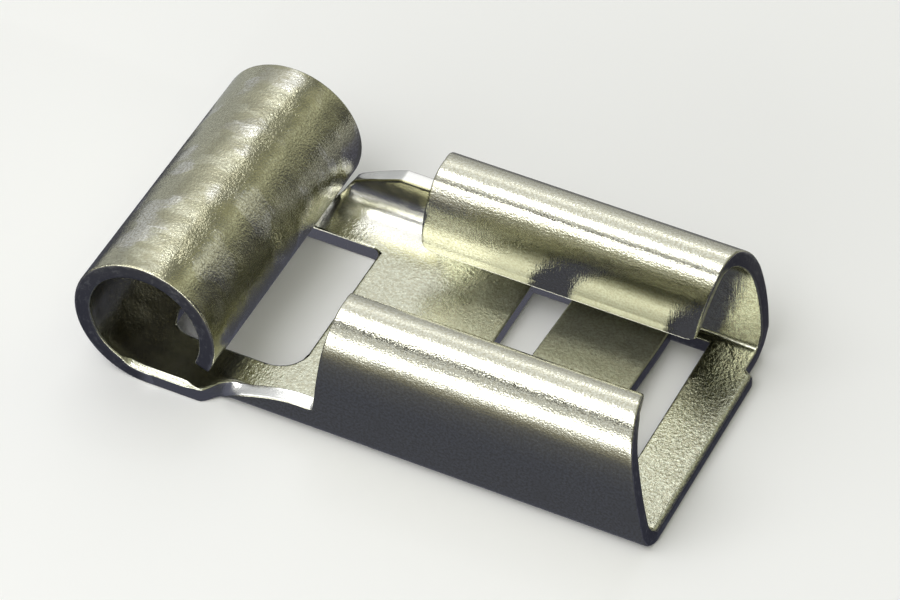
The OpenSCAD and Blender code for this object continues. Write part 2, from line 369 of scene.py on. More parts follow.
@dataclass
class Blank:
    """The flat blank as patches of grid, welded along their shared lines.

    Attributes:
        fold: the sizes.
        counts: rows of cells from the window's front to the front edge, for the leg,
            base, rear slot, bridge, front slot and land.
        cell: length of a cell where no other is given.
        low_cells: lengths on the flat, the base bend and the low wall.
        high_cells: lengths on the wall, shoulder, crest, its far side, flank and corner.
        leg_cell: length beside the window.
        corner_n: rows round each corner of the window.
        barrel_n: rows round the barrel.
        weld_gap: points closer than this become one.
    """

    fold: Fold
    counts: tuple = (10, 22, 9, 22, 9, 13)
    cell: float = 0.12
    low_cells: tuple = (0.07, 0.06, 0.12)
    high_cells: tuple = (0.14, 0.09, 0.06, 0.05, 0.13, 0.05)
    leg_cell: float = 0.09
    corner_n: int = 8
    barrel_n: int = 120
    weld_gap: float = 1e-4

    def __post_init__(self) -> None:
        """Works out what the patches share."""
        f = self.fold
        self.half = f.slot_l / 2
        self.stops = np.concatenate([[0], np.cumsum(self.counts)])
        self.hole = {side: f.window_half - f.legs[side].window_r for side in Side}
        self.middle = self._line([-self.half, -self.hole[Side.NEAR], self.hole[Side.FAR],
                                  self.half])
        self.rear_x = f.barrel_x - f.window_reach

    def _line(self, stops: list, cells: tuple | None = None) -> np.ndarray:
        """Points along a line through the stops, evenly spaced between each two.

        Args:
            stops: places that have a point.
            cells: longest cell between each two stops, or none for the usual one.

        Returns:
            The places of the points.
        """
        cells = cells or (self.cell,) * (len(stops) - 1)
        counts = [max(2, math.ceil(abs(b - a) / cell))
                  for a, b, cell in zip(stops[:-1], stops[1:], cells)]
        return self._spaced(stops, counts)

    def _spaced(self, stops: list, counts: tuple | list) -> np.ndarray:
        """Points through the stops, with a given number of cells between each two."""
        runs = [np.linspace(a, b, n + 1)[:-1] for a, b, n in zip(stops[:-1], stops[1:], counts)]
        return np.concatenate(runs + [np.array([stops[-1]])])

    def _low(self, side: Side) -> np.ndarray:
        """Places past the bend's start, from the slots' ends to the top of the flange."""
        f = self.fold
        return self._line([self.half - f.flat_half, 0.0, float(f.ends_s[1]), f.flange_s(side)],
                          self.low_cells)

    def rows(self) -> dict:
        """Row positions along the receptacle, beside the slots, for each side.

        Returns:
            For each side, the positions from the window to the front.
        """
        f = self.fold
        made = {}
        for side in Side:
            corner = float(f.rear(np.array([f.flange_s(side)]))[0])
            front = float(f.front(np.array([self.half - f.flat_half]), side)[0])
            made[side] = self._spaced([f.window_x, corner, f.slots_rear, f.bridge_rear,
                                       f.bridge_front, f.land_x, front], self.counts)
        return made

    def patches(self) -> list:
        """Lays out every patch of the blank.

        Returns:
            Pairs of grids, U and S: the base, the bridge, the land, four patches for
            each side and the barrel.
        """
        f, k, rows = self.fold, self.stops, self.rows()
        mix = ((self.middle + self.half) / (2 * self.half))[None, :]
        u_mid = blend(rows[Side.NEAR][:, None], rows[Side.FAR][:, None], mix)
        s_mid = np.broadcast_to(self.middle, u_mid.shape).copy()
        past = np.abs(self.middle) - f.flat_half
        front = np.where(self.middle < 0, f.front(past, Side.NEAR), f.front(past, Side.FAR))
        reach = np.linspace(0.0, 1.0, self.counts[-1] + 1)[:, None]
        u_mid[k[5]:] = blend(u_mid[k[5]], front[None, :], reach)
        spans = (slice(k[0], k[2] + 1), slice(k[3], k[4] + 1), slice(k[5], None))
        parts = [(u_mid[span], s_mid[span]) for span in spans]
        for side in Side:
            parts += self._side(side, rows[side])
        parts.append(self._barrel())
        return parts

    def _side(self, side: Side, rows: np.ndarray) -> list:
        """Side wall, curl and leg of one side.

        The window's edge beside the leg is straight, with a quarter circle at each
        corner: the radius times the root of one less the square of the way round.

        Args:
            side: which side.
            rows: row positions along the receptacle on this side.

        Returns:
            Four pairs of grids, U and signed S: low wall, curl, leg, and the leg's
            part ahead of the window.
        """
        f, half, hole, corner_k = self.fold, self.half, self.hole[side], self.stops[1]
        low = self._low(side)
        high = self._line([low[-1], float(f.ends_s[2]), float(f.ends_s[3]), f.crest_s,
                           float(f.ends_s[5]), f.free_s - f.corner_r, f.free_s],
                          self.high_cells)
        share = ((rows[corner_k:] - rows[corner_k]) / (rows[-1] - rows[corner_k]))[:, None]
        u_low = blend(rows[corner_k], f.front(low, side)[None, :], share)
        u_high = blend(f.rear(high)[None, :], f.front(high, side)[None, :], share)
        r = f.legs[side].window_r
        turn = np.linspace(0.0, math.pi / 2, self.corner_n + 1)
        u = np.concatenate([
            self.rear_x + r * (1 - np.cos(turn))[:-1],
            self._line([self.rear_x + r, f.window_x - r], (self.leg_cell,)),
            f.window_x - r + r * np.sin(turn)[1:]])
        near_rear = np.clip((self.rear_x + r - u) / r, 0.0, 1.0)
        near_front = np.clip((u - f.window_x + r) / r, 0.0, 1.0)
        rim = hole + r * np.sqrt(1 - np.maximum(near_rear, near_front) ** 2)
        beside = self.middle * side.value >= hole - self.weld_gap
        inside = np.sort(np.abs(self.middle[beside]))
        share_in = ((inside - hole) / (half - hole))[None, :]
        share_out = ((low - low[0]) / (low[-1] - low[0]))[None, 1:]
        edge = f.flat_half + f.edge(u, side)[:, None]
        s_leg = np.concatenate([blend(rim[:, None], half, share_in),
                                half + (edge - half) * share_out], axis=1)
        u_ahead = rows[:corner_k + 1]
        edge = f.flat_half + f.edge(u_ahead, side)[:, None]
        s_ahead = half + (edge - half) * np.concatenate([[[0.0]], share_out], axis=1)
        grids = [(u_low, f.flat_half + low), (u_high, f.flat_half + high),
                 (u[:, None], s_leg), (u_ahead[:, None], s_ahead)]
        return [(np.array(a), side.value * b)
                for a, b in (np.broadcast_arrays(a, b) for a, b in grids)]

    def _barrel(self) -> tuple:
        """Lays out the tail that rolls up into the barrel.

        Returns:
            Grids of U and S, whose rows run from the free edge to the window's rear.
        """
        f, half, outer = self.fold, self.half, {}
        for side in Side:
            low = self._low(side)
            share = (low - low[0]) / (low[-1] - low[0])
            edge = f.flat_half + float(f.edge(np.array([self.rear_x]), side)[0])
            outer[side] = (half + (edge - half) * share)[1:]
        s = np.concatenate([-outer[Side.NEAR][::-1], self.middle, outer[Side.FAR]])
        along = np.linspace(0.0, 1.0, self.barrel_n + 1)[:, None]
        u = blend((f.barrel_x - f.roll_end(s))[None, :], self.rear_x, along)
        return u, np.broadcast_to(s, u.shape).copy()

    def weld(self) -> tuple:
        """Joins the patches.

        Returns:
            Welded points with columns U and S, and the quads that join them, which
            turn anticlockwise seen from the outer face.
        """
        points, quads, start = [], [], 0
        for u, s in self.patches():
            m, n = u.shape
            index = start + np.arange(m * n).reshape(m, n)
            quad = np.stack([index[:-1, :-1], index[1:, :-1], index[1:, 1:], index[:-1, 1:]],
                            axis=-1).reshape(-1, 4)
            p = np.stack([u.ravel(), s.ravel()], axis=-1)
            a, b, d = p[quad[:, 0] - start], p[quad[:, 1] - start], p[quad[:, 3] - start]
            area = np.cross(b - a, d - a).mean()
            quads.append(quad if area < 0 else quad[:, ::-1])
            points.append(p)
            start += m * n
        points, quads = np.concatenate(points), np.concatenate(quads)
        key = np.round(points / self.weld_gap).astype(np.int64)
        _, first, back = np.unique(key, axis=0, return_index=True, return_inverse=True)
        return points[first], back.ravel()[quads]


@dataclass(frozen=True)
class CutEdge:
    """Profile of the cut edge across the sheet: rounded, straight, rounded.

    The inner round is wider along the front, where the tab is led in. At the
    barrel's mouth a slanted land is worn in its place.

    Attributes:
        outer_round: radius on the outer face.
        inner_round: radius on the inner face.
        round_n: cells round each.
        lead_in: radius on the inner face along the front.
        lead_fade: set back of the front over which the lead-in is lost.
        mouth_round: how far the inner face's points make way for the land.
        mouth_in: how far the land's rows lie in from the outline.
        mouth_down: how far they lie below the inner face.
        mouth_rear: U of the land's rear end, rolled up with the barrel.
        mouth_front: U of its front end.
        mouth_fade: length over which it begins and ends.
        reach: breadth of the inner face whose points make way.
        sharpest: least spread of a corner's two normals that is allowed for.
    """

    outer_round: float = 0.05
    inner_round: float = 0.06
    round_n: int = 4
    lead_in: float = 0.14
    lead_fade: float = 0.05
    mouth_round: float = 0.1
    mouth_in: tuple = (0.0, 0.01, 0.035, 0.145, 0.16)
    mouth_down: tuple = (0.13, 0.1, 0.077, 0.008, 0.0)
    mouth_rear: float = -6.5
    mouth_front: float = -4.2
    mouth_fade: float = 0.4
    reach: float = 0.5
    sharpest: float = 0.3

    def profile(self, sheet_t: float, inner: np.ndarray, mouth: np.ndarray) -> tuple:
        """Offsets of the edge's rows from the outline and their depths.

        Each round is a quarter circle: its offset is the radius times one less than
        the sine of the turn, and its depth the radius times one less the cosine.

        Args:
            sheet_t: thickness of the sheet.
            inner: radius of the round on the inner face, one for each outline point.
            mouth: how far the round is worn to the land of the barrel's mouth.

        Returns:
            Offsets and depths, each with a row for a row of the edge.
        """
        turn = np.linspace(0.0, math.pi / 2, self.round_n + 1)[:, None]
        r = np.full_like(inner, self.outer_round)
        first = (-r * (1 - np.sin(turn)), r * (1 - np.cos(turn)))
        back = turn[::-1]
        worn_in, worn_down = np.array(self.mouth_in)[:, None], np.array(self.mouth_down)[:, None]
        last = (-inner * (1 - np.sin(back)) * (1 - mouth) - worn_in * mouth,
                sheet_t - inner * (1 - np.cos(back)) * (1 - mouth) - worn_down * mouth)
        quarters = np.array([[0.25], [0.5], [0.75]])
        straight = self.outer_round + (last[1][0] - self.outer_round) * quarters
        return (np.concatenate([first[0], 0 * straight, last[0]]),
                np.concatenate([first[1], straight, last[1]]))


@dataclass
class Terminal:
    """The whole terminal: one closed mesh folded from the blank."""

    fold: Fold = field(default_factory=Fold)
    cut: CutEdge = field(default_factory=CutEdge)

    def outline(self, points: np.ndarray, quads: np.ndarray) -> tuple:
        """Finds the cut edges of the blank.

        An edge used by one quad only is cut. Its outward normal is its direction
        turned a quarter, and a corner takes the sum of the normals on both sides over
        one plus their product, which keeps the inset even.

        Args:
            points: points of the blank.
            quads: quads that join them.

        Returns:
            Cut edges as pairs of points, the points on them, and their normals.
        """
        edges = np.stack([quads, np.roll(quads, -1, axis=1)], axis=-1).reshape(-1, 2)
        key = np.sort(edges, axis=1)
        key = key[:, 0] * len(points) + key[:, 1]
        _, where, count = np.unique(key, return_index=True, return_counts=True)
        cuts = edges[where[count == 1]]
        run = points[cuts[:, 1]] - points[cuts[:, 0]]
        run /= np.linalg.norm(run, axis=1, keepdims=True)
        normal = np.stack([-run[:, 1], run[:, 0]], axis=-1)
        out_of, into = np.zeros_like(points), np.zeros_like(points)
        out_of[cuts[:, 0]] = normal
        into[cuts[:, 1]] = normal
        rim = np.unique(cuts)
        a, b = out_of[rim], into[rim]
        spread = np.maximum(1 + (a * b).sum(axis=1, keepdims=True), self.cut.sharpest)
        return cuts, rim, (a + b) / spread

    def eased(self, points: np.ndarray) -> tuple:
        """Finds where the inner round is wider, and the way to the two edges there.

        The edges are the front of the base, where the tab is led in, and the rim of
        the barrel's floor at its near end.

        Args:
            points: points of the blank.

        Returns:
            Extra width at the front and at the rim, and the distances to both.
        """
        f, cut, (u, s) = self.fold, self.cut, points.T
        past = np.abs(s) - f.flat_half
        front = np.where(s < 0, f.front(past, Side.NEAR), f.front(past, Side.FAR))
        to_front, to_rim = front - u, s + (f.barrel_l / 2 - f.barrel_shift)
        lead = (cut.lead_in - cut.inner_round) * np.clip(
            (front - f.front_x) / cut.lead_fade + 1, 0.0, 1.0)
        mouth = (cut.mouth_round * ease((u - cut.mouth_rear) / cut.mouth_fade)
                 * ease((cut.mouth_front - u) / cut.mouth_fade))
        return (np.where(to_front < cut.reach, lead, 0.0), np.where(to_rim < cut.reach, mouth, 0.0),
                np.maximum(to_front, 0.0), np.maximum(to_rim, 0.0))

    def build(self) -> bpy.types.Object:
        """Makes the mesh: outer face, inner face and the profile carried round the cuts.

        Returns:
            The piece, whose blank attribute holds U, S and the depth of each point.
            Faces of the straight part of a cut have the second material.
        """
        f, cut = self.fold, self.cut
        points, quads = Blank(f).weld()
        cuts, rim, normal = self.outline(points, quads)
        lead, mouth, to_front, to_rim = self.eased(points)
        offset, depth = cut.profile(f.sheet_t, cut.inner_round + lead[rim],
                                    mouth[rim] / cut.mouth_round)
        n, m, rows = len(points), len(rim), len(offset)
        outer, inner = points.copy(), points.copy()
        inside = np.ones(n, dtype=bool)
        inside[rim] = False
        inner[:, 0] -= inside * lead * ease(1 - to_front / cut.reach)
        inner[:, 1] += inside * mouth * ease(1 - to_rim / cut.reach)
        outer[rim] += offset[0][:, None] * normal
        inner[rim] += offset[-1][:, None] * normal
        between = points[rim][None] + offset[1:-1, :, None] * normal[None]
        flat = np.concatenate([outer, inner, between.reshape(-1, 2)])
        t = np.concatenate([np.zeros(n), np.full(n, f.sheet_t), depth[1:-1].ravel()])
        xyz = f.place(flat[:, 0], flat[:, 1], t)
        at = np.full(n, -1)
        at[rim] = np.arange(m)
        ring = np.concatenate([rim[None], 2 * n + np.arange((rows - 2) * m).reshape(-1, m),
                               n + rim[None]])
        a, b = at[cuts[:, 0]], at[cuts[:, 1]]
        edge = np.stack([ring[:-1][:, b], ring[:-1][:, a], ring[1:][:, a], ring[1:][:, b]],
                        axis=-1).reshape(-1, 4)
        faces = np.concatenate([quads, n + quads[:, ::-1], edge])
        bare = np.zeros((rows - 1, len(cuts)), dtype=np.int32)
        bare[cut.round_n - 1:1 - cut.round_n] = 1
        finish = np.concatenate([np.zeros(2 * len(quads), dtype=np.int32), bare.ravel()])
        mesh = bpy.data.meshes.new("folded_sheet")
        mesh.vertices.add(len(xyz))
        mesh.vertices.foreach_set("co", (xyz * MM).ravel())
        mesh.loops.add(faces.size)
        mesh.loops.foreach_set("vertex_index", faces.ravel().astype(np.int32))
        mesh.polygons.add(len(faces))
        mesh.polygons.foreach_set("loop_start", np.arange(0, faces.size, 4, dtype=np.int32))
        mesh.polygons.foreach_set("use_smooth", np.ones(len(faces), dtype=bool))
        mesh.update(calc_edges=True)
        blank = mesh.attributes.new("blank", "FLOAT_VECTOR", "POINT")
        blank.data.foreach_set("vector", np.column_stack([flat, t]).ravel())
        mesh.polygons.foreach_set("material_index", finish)
        mesh.validate()
        piece = bpy.data.objects.new("folded_sheet", mesh)
        bpy.context.scene.collection.objects.link(piece)
        return piece


class Graph:
    """Short hand for adding shader nodes to a node tree."""

    def __init__(self, tree: bpy.types.NodeTree) -> None:
        """Keeps the tree."""
        self.tree = tree

    def add(self, kind: str, output: str | int = 0, **inputs: object) -> bpy.types.NodeSocket:
        """Adds a node and sets or links its inputs.

        Args:
            kind: the node's type, without the word ShaderNode.
            output: name or index of the output to hand back.
            inputs: properties of the node, then inputs as i0, i1 or by name.

        Returns:
            The node's output socket.
        """
        node = self.tree.nodes.new("ShaderNode" + kind)
        for key, value in inputs.items():
            if hasattr(node, key):
                setattr(node, key, value)
                continue
            name = int(key[1:]) if key[0] == "i" and key[1:].isdigit() else key.replace("_", " ")
            self.feed(node.inputs[name], value)
        return node.outputs[output]

    def feed(self, socket: bpy.types.NodeSocket, value: object) -> None:
        """Links a socket to an output, or sets its value.

        Args:
            socket: an input.
            value: an output to link, or a plain value.
        """
        if isinstance(value, bpy.types.NodeSocket):
            self.tree.links.new(value, socket)
        else:
            socket.default_value = value

    def math(self, operation: str, a: object, b: object = 0.0,
             c: object = 0.0) -> bpy.types.NodeSocket:
        """Adds a math node."""
        return self.add("Math", operation=operation, i0=a, i1=b, i2=c)

    def product(self, first: object, *others: object) -> bpy.types.NodeSocket:
        """Multiplies values in their order.

        Args:
            first: an output or a plain value.
            others: what it is multiplied by.

        Returns:
            The product, which is the first value itself where it stands alone.
        """
        for other in others:
            first = self.math("MULTIPLY", first, other)
        return first

    def ramp(self, value: object, low: float, high: float,
             to_low: float = 0.0, to_high: float = 1.0) -> bpy.types.NodeSocket:
        """Maps a value smoothly from one range to another, clamped."""
        return self.add("MapRange", interpolation_type="SMOOTHSTEP", Value=value,
                        From_Min=low, From_Max=high, To_Min=to_low, To_Max=to_high)

    def split(self, vector: object) -> list:
        """The three parts of a vector."""
        return list(self.add("SeparateXYZ", Vector=vector).node.outputs)

    def mix(self, factor: object, a: object, b: object) -> bpy.types.NodeSocket:
        """Mixes two colours."""
        return self.add("Mix", 2, data_type="RGBA", i0=factor, i6=a, i7=b)


@dataclass(frozen=True)
class Zones:
    """Bounds of the blank's zones: where a mask is 0, and where it is 1.

    Names that end in u or s are places along or across the blank, and depth is
    measured in from the outer face. A zone with a rear and a front lies between them.
    The strip is the base ahead of its slots, and the pocket is the room under the
    curls. The band and the ridge run along the barrel's top. The near and front edges
    are cut faces.
    """

    barrel_u: tuple = (-5.2, -5.9)
    inner_depth: tuple = (0.1, 0.3)
    base_s: tuple = (3.3, 3.0)
    strip_u: tuple = (5.9, 6.3)
    wall_low_s: tuple = (3.5, 3.9)
    wall_high_s: tuple = (6.2, 5.8)
    curl_s: tuple = (5.6, 6.6)
    pocket_rear_u: tuple = (-0.3, 0.7)
    pocket_front_u: tuple = (5.7, 5.2)
    # The next three bound the far leg, which is painted with a highlight.
    leg_rear_u: tuple = (-4.6, -3.9)
    leg_front_u: tuple = (-0.9, -1.5)
    leg_s: tuple = (2.3, 2.9)
    # The next two bound painted shade: on the inside of the far flange, and inside the barrel.
    leg_top_s: tuple = (4.3, 4.6)
    bore_s: tuple = (-3.75, -3.6)
    band_rear_u: tuple = (-12.5, -12.2)
    band_front_u: tuple = (-11.7, -11.9)
    ridge_rear_u: tuple = (-12.0, -11.8)
    ridge_front_u: tuple = (-10.6, -11.0)
    near_edge_rear_u: tuple = (-5.5, -5.1)
    near_edge_front_u: tuple = (3.0, 2.6)
    near_edge_s: tuple = (-1.0, -1.4)
    front_edge_u: tuple = (3.4, 4.2)
    torn_depth: tuple = (0.04, 0.16)


ZONES = Zones()


@dataclass(frozen=True)
class Noise:
    """Noise over the blank.

    Attributes:
        waves: waves for each millimetre, or those along each axis of the blank.
        detail: how many finer layers it has.
        layer: how strong each layer is against the one before it.
    """

    waves: float | tuple
    detail: float = 2.0
    layer: float = 0.5

    def spread(self, g: Graph, blank: object) -> bpy.types.NodeSocket:
        """Adds the noise.

        Args:
            g: the graph that takes it.
            blank: places on the blank.

        Returns:
            The noise at those places, from 0 to 1.
        """
        scale = self.waves
        if isinstance(scale, tuple):
            blank = g.add("VectorMath", operation="MULTIPLY_ADD", i0=blank, i1=scale,
                          i2=(0.0, 0.0, 0.0))
            scale = 1.0
        return g.add("TexNoise", noise_dimensions="3D", Vector=blank, Scale=scale,
                     Detail=self.detail, Roughness=self.layer)


@dataclass(frozen=True)
class Speckle:
    """Scattered spots: a noise taken between two bounds.

    Attributes:
        noise: the noise.
        bounds: where the noise gives the first value, and where the last.
        values: the first value and the last.
    """

    noise: Noise
    bounds: tuple
    values: tuple = (0.0, 1.0)

    def spread(self, g: Graph, blank: object) -> bpy.types.NodeSocket:
        """The value at places on the blank."""
        return g.ramp(self.noise.spread(g, blank), *self.bounds, *self.values)


@dataclass(frozen=True)
class Grain:
    """Unevenness of the worked sheet, as a node group that both finishes use.

    Three noises are added: a fine one, one about twice as coarse that bending has
    raised, and a slow one for the unevenness of the sheet. Draw lines are noise
    stretched across the blank on the walls, and along it on the barrel. Streaks run
    along the blank, and dents are broad. The high places of the dents, with a share
    of the lines, between two bounds, give a mask that the plating paints pale on the
    barrel, as wear and partly as a painted highlight.
    """

    fine: Noise = Noise(24.0, 1.0)
    coarse: Noise = Noise(13.0, 2.0, 0.6)
    slow: Noise = Noise(1.1)
    wall_lines: Noise = Noise((11.0, 0.9, 1.0), 3.0, 0.7)
    barrel_lines: Noise = Noise((0.9, 11.0, 1.0), 3.0, 0.7)
    streaks: Noise = Noise((1.6, 15.0, 1.0), 2.0, 0.6)
    dents: Noise = Noise((0.9, 1.0, 1.0), 1.0)
    lines_share: float = 0.25
    wear_and_highlight: tuple = (0.66, 0.76)
    heights: tuple = (("Fine", 2.0), ("Coarse", 6.0), ("Slow", 14.0), ("Draw", 4.0),
                      ("Streaks", 0.0), ("Dents", 0.0))

    def build(self) -> bpy.types.NodeTree:
        """Makes the group.

        Returns:
            The group. It takes a place on the blank and the height of each kind, and
            gives the height in micrometres, a mask of the pits, and a mask of wear that is
            partly a painted highlight.
        """
        group = bpy.data.node_groups.new("worked_grain", "ShaderNodeTree")
        face = group.interface
        face.new_socket("Blank", in_out="INPUT", socket_type="NodeSocketVector")
        for name, height in self.heights:
            socket = face.new_socket(name, in_out="INPUT", socket_type="NodeSocketFloat")
            socket.default_value = height
        for name in ("Height", "Pits", "WearAndHighlight"):
            face.new_socket(name, in_out="OUTPUT", socket_type="NodeSocketFloat")
        g = Graph(group)
        enter = group.nodes.new("NodeGroupInput").outputs
        leave = group.nodes.new("NodeGroupOutput").inputs
        blank = enter["Blank"]
        barrel = g.ramp(g.split(blank)[0], *ZONES.barrel_u)
        coarse = self.coarse.spread(g, blank)
        lines = g.add("Mix", data_type="FLOAT", Factor=barrel,
                      A=self.wall_lines.spread(g, blank), B=self.barrel_lines.spread(g, blank))
        dents = self.dents.spread(g, blank)
        total = g.product(self.fine.spread(g, blank), enter["Fine"])
        for name, value in (("Coarse", coarse), ("Slow", self.slow.spread(g, blank)),
                            ("Draw", lines), ("Streaks", self.streaks.spread(g, blank)),
                            ("Dents", dents)):
            total = g.math("MULTIPLY_ADD", value, enter[name], total)
        g.feed(leave["Height"], total)
        g.feed(leave["Pits"], coarse)
        # Mask of wear, partly a painted highlight: high dents with a share of the lines.
        wear_and_painted_highlight = g.math("MULTIPLY_ADD", lines, self.lines_share, dents)
        g.feed(leave["WearAndHighlight"], g.ramp(wear_and_painted_highlight, *self.wear_and_highlight))
        return group


class Finish:
    """A material under way: its graph, its shader, its grain and the blank's parts."""

    def __init__(self, name: str, grain: bpy.types.NodeTree) -> None:
        """Starts the material.

        Args:
            name: the material's name.
            grain: the group of the grain.
        """
        self.material = bpy.data.materials.new(name)
        self.material.use_nodes = True
        tree = self.material.node_tree
        self.g = Graph(tree)
        self.shader = tree.nodes["Principled BSDF"]
        self.blank = self.g.add("Attribute", "Vector", attribute_name="blank")
        self.along, self.side, self.depth = self.g.split(self.blank)
        self.grain = tree.nodes.new("ShaderNodeGroup")
        self.grain.node_tree = grain
        self.g.feed(self.grain.inputs["Blank"], self.blank)

    def raise_grain(self, **heights: object) -> None:
        """Sets or links the heights of the grain, by their names."""
        for name, height in heights.items():
            self.g.feed(self.grain.inputs[name], height)

    def bump(self, height: object) -> None:
        """Bends the shading by a height in micrometres."""
        self.set(Normal=self.g.add("Bump", Strength=1.0, Distance=MICRON, Height=height))

    def set(self, **values: object) -> None:
        """Sets or links inputs of the shader, by their names."""
        for name, value in values.items():
            self.g.feed(self.shader.inputs[name.replace("_", " ")], value)


@dataclass(frozen=True)
class Plating:
    """Bright tin plate over brass, roughened where the sheet was bent.

    Heights are micrometres. A straight strip is left along the curl's free edge,
    because the tool held it flat.

    Attributes:
        curl_end: S of the curl's free edge.
        tin: outer face of the receptacle.
        rolled: outer face of the barrel.
        inside: inner face.
        wear_and_painted_highlight: pale colour for wear on the barrel, partly a painted highlight
            there, and a painted highlight over the far leg.
        stained: pits, flecks and stains.
        painted_bore_shade: painted shade inside the barrel.
        tarnish_and_painted_shade: tarnish in a band and patches beside the barrel's ridge, and
            painted shade on the inside of the far leg's flange, near its top.
        band_share: how strong the band's tarnish is.
        band_drift: how far its edges wander.
        band_noise: the noise that moves them.
        patches: how strong the ridge's tarnish is, in patches.
        stains: broad dull places.
        flecks: fine dull places.
        pits: how dull the grain's pits are: its bounds, then the values there.
        polish: roughness before the next three.
        inside_matt: roughness added on the inner face.
        pocket_matt: roughness added under the curls.
        barrel_matt: roughness added on the barrel.
        pocket_dull: metallic lost under the curls.
        coarse_h: coarse grain, added to by the next two.
        worked_coarse_h: coarse grain where the sheet is worked.
        strip_coarse_h: coarse grain ahead of the slots, at the strip's rear and front.
        curl_share: how much the curls are worked, against the barrel.
        fine_h: fine grain.
        worked_fine_h: fine grain added where the sheet is worked.
        draw_h: draw lines.
        wall_draw_h: how much higher they are on the walls, and lower on the barrel.
        streaks_h: streaks on the curls.
        dents_h: dents on the barrel.
        leg_draw: share of the draw lines lost on the far leg.
        leg_fleck: share of the flecks lost there.
        straight_l: breadth of the straight strip.
        straight_slope: its slope against the curl.
    """

    curl_end: float
    tin: tuple = (0.66, 0.665, 0.57, 1.0)
    rolled: tuple = (0.68, 0.68, 0.52, 1.0)
    inside: tuple = (0.64, 0.655, 0.535, 1.0)
    wear_and_painted_highlight: tuple = (0.93, 0.93, 0.86, 1.0)
    stained: tuple = (0.4, 0.37, 0.26, 1.0)
    painted_bore_shade: tuple = (0.4, 0.4, 0.35, 1.0)
    tarnish_and_painted_shade: tuple = (0.38, 0.37, 0.24, 1.0)
    band_share: float = 0.85
    band_drift: float = 0.5
    band_noise: Noise = Noise(1.3, 3.0)
    patches: Speckle = Speckle(Noise((0.7, 1.4, 1.0), 3.0, 0.6), (0.54, 0.47), (0.0, 0.6))
    stains: Speckle = Speckle(Noise(0.8, 4.0, 0.6), (0.5, 0.75), (0.0, 0.35))
    flecks: Speckle = Speckle(Noise(15.0, 2.0, 0.7), (0.35, 0.65), (0.0, 0.6))
    pits: tuple = (0.42, 0.3, 0.0, 0.35)
    polish: Speckle = Speckle(Noise(2.3, 3.0), (0.3, 0.7), (0.06, 0.15))
    inside_matt: float = 0.07
    pocket_matt: float = 0.16
    barrel_matt: float = -0.02
    pocket_dull: float = 0.14
    coarse_h: float = 1.5
    worked_coarse_h: float = 4.5
    strip_coarse_h: tuple = (9.0, 24.0)
    curl_share: float = 0.5
    fine_h: float = 1.5
    worked_fine_h: float = 5.0
    draw_h: float = 4.0
    wall_draw_h: float = 3.0
    streaks_h: float = 2.0
    dents_h: float = 90.0
    leg_draw: float = 0.8
    leg_fleck: float = 0.7
    straight_l: float = 0.42
    straight_slope: float = 0.24

    def build(self, grain: bpy.types.NodeTree) -> bpy.types.Material:
        """Makes the material.

        Args:
            grain: the group of the grain.

        Returns:
            The material.
        """
        finish = Finish("tin_plate", grain)
        g, z = finish.g, ZONES
        barrel = g.ramp(finish.along, *z.barrel_u)
        inner = g.ramp(finish.depth, *z.inner_depth)
        far_leg = g.product(g.ramp(finish.along, *z.leg_front_u), g.ramp(finish.side, *z.leg_s),
                            g.ramp(finish.along, *z.leg_rear_u))
        self._relief(finish, barrel, far_leg)
        self._colour(finish, barrel, inner, far_leg)
        self._polish(finish, barrel, inner)
        return finish.material

    def _relief(self, finish: Finish, barrel: object, far_leg: object) -> None:
        """Gives each zone its grain, and the curl its straight strip.

        Args:
            finish: the material under way.
            barrel: mask of the barrel.
            far_leg: mask of the far leg, which is painted with a highlight and has weaker draw
                lines.
        """
        g, z = finish.g, ZONES
        across = g.math("ABSOLUTE", finish.side)
        curl = g.ramp(across, *z.curl_s)
        worked = g.math("MULTIPLY_ADD", curl, self.curl_share, barrel)
        strip = g.ramp(finish.along, *z.strip_u, *self.strip_coarse_h)
        strip = g.math("MULTIPLY_ADD", g.ramp(across, *z.base_s), strip, self.coarse_h)
        walls = g.product(g.ramp(across, *z.wall_low_s), g.ramp(across, *z.wall_high_s))
        draw = g.math("MULTIPLY_ADD", g.math("SUBTRACT", walls, barrel), self.wall_draw_h,
                      self.draw_h)
        finish.raise_grain(
            Coarse=g.math("MULTIPLY_ADD", worked, self.worked_coarse_h, strip),
            Fine=g.math("MULTIPLY_ADD", worked, self.worked_fine_h, self.fine_h),
            Draw=g.product(draw, g.math("MULTIPLY_ADD", far_leg, -self.leg_draw, 1.0)),
            Streaks=g.product(curl, self.streaks_h),
            Dents=g.product(barrel, self.dents_h))
        start = self.curl_end - self.straight_l
        straight = g.math("MAXIMUM", g.math("SUBTRACT", across, start), 0.0)
        finish.bump(g.math("MULTIPLY_ADD", straight, 1000 * self.straight_slope,
                           finish.grain.outputs["Height"]))

    def _colour(self, finish: Finish, barrel: object, inner: object, far_leg: object) -> None:
        """Mixes the colour: faces, then wear and painted highlight, tarnish and painted shade, and
        dull places.

        Args:
            finish: the material under way.
            barrel: mask of the barrel.
            inner: mask of the inner face.
            far_leg: mask of the far leg, which is painted with a highlight.
        """
        g, z, blank, along = finish.g, ZONES, finish.blank, finish.along
        sheet = g.mix(inner, g.mix(barrel, self.tin, self.rolled), self.inside)
